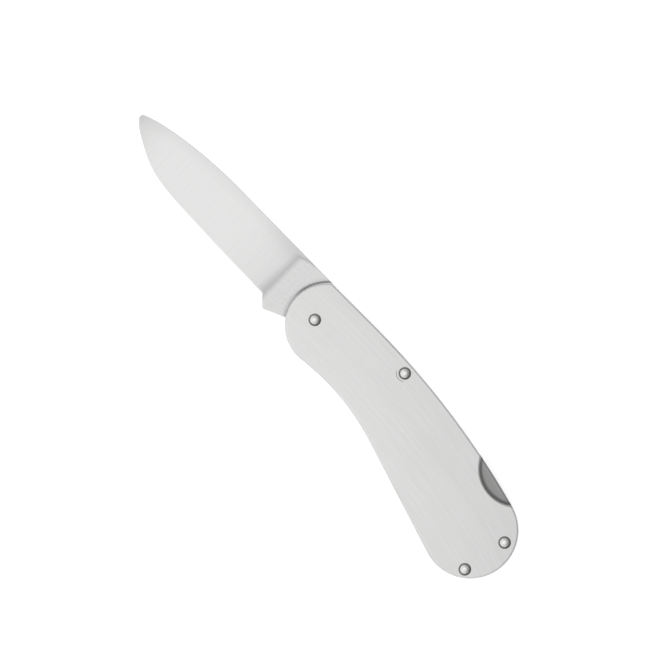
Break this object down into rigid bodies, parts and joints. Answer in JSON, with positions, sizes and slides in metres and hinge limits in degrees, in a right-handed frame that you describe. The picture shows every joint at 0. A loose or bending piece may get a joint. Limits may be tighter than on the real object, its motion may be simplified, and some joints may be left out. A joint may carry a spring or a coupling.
{
  "type": "folding pocket knife",
  "caption": "Lock-back folding pocket knife: drop-point blade turning between riveted bare steel plates, held by a rocker bar that is released at a half-moon thumb notch.",
  "frame": {"origin": "where the pivot's axis meets the outer face of the rear plate", "axes": "+X from the blade's tip to the butt, +Y from the cutting edge to the back, +Z from the rear plate to the front plate; the knife lies on its rear rivet heads"},
  "size_m": [0.1526, 0.0337, 0.0083],
  "materials": {
    "plate_steel": "brushed along the handle",
    "blade_steel": "satin ground across the blade",
    "bar_steel": "ground edges, duller sides",
    "spring_steel": "tempered",
    "rivet_steel": "polished domes",
    "bronze": "turned bearing bronze"
  },
  "bodies": {
    "handle": {"front_plate": "plate_steel", "rear_plate": "plate_steel", "tail_spacer": "bar_steel", "lock_spring": "spring_steel", "pivot_rivet": "rivet_steel", "lock_bar_rivet": "rivet_steel", "tail_rivet_back": "rivet_steel", "tail_rivet_belly": "rivet_steel", "pivot_bush": "bronze", "pivot_washer_front": "bronze", "pivot_washer_rear": "bronze"},
    "blade": {"blade": "blade_steel"},
    "lock_bar": {"lock_bar": "bar_steel"}
  },
  "joints": [
    {"name": "blade_fold", "type": "hinge", "parent": "handle", "child": "blade", "pos_m": [0, 0, 0.00357], "axis": [0, 0, 1], "range_deg": [0, 172.3]},
    {"name": "lock_rock", "type": "hinge", "parent": "handle", "child": "lock_bar", "pos_m": [0.0269, 0.00683, 0.00357], "axis": [0, 0, -1], "range_deg": [-1.15, 2.2], "stiffness_Nm_per_rad": 2, "deforming": ["lock_spring"]}
  ]
}
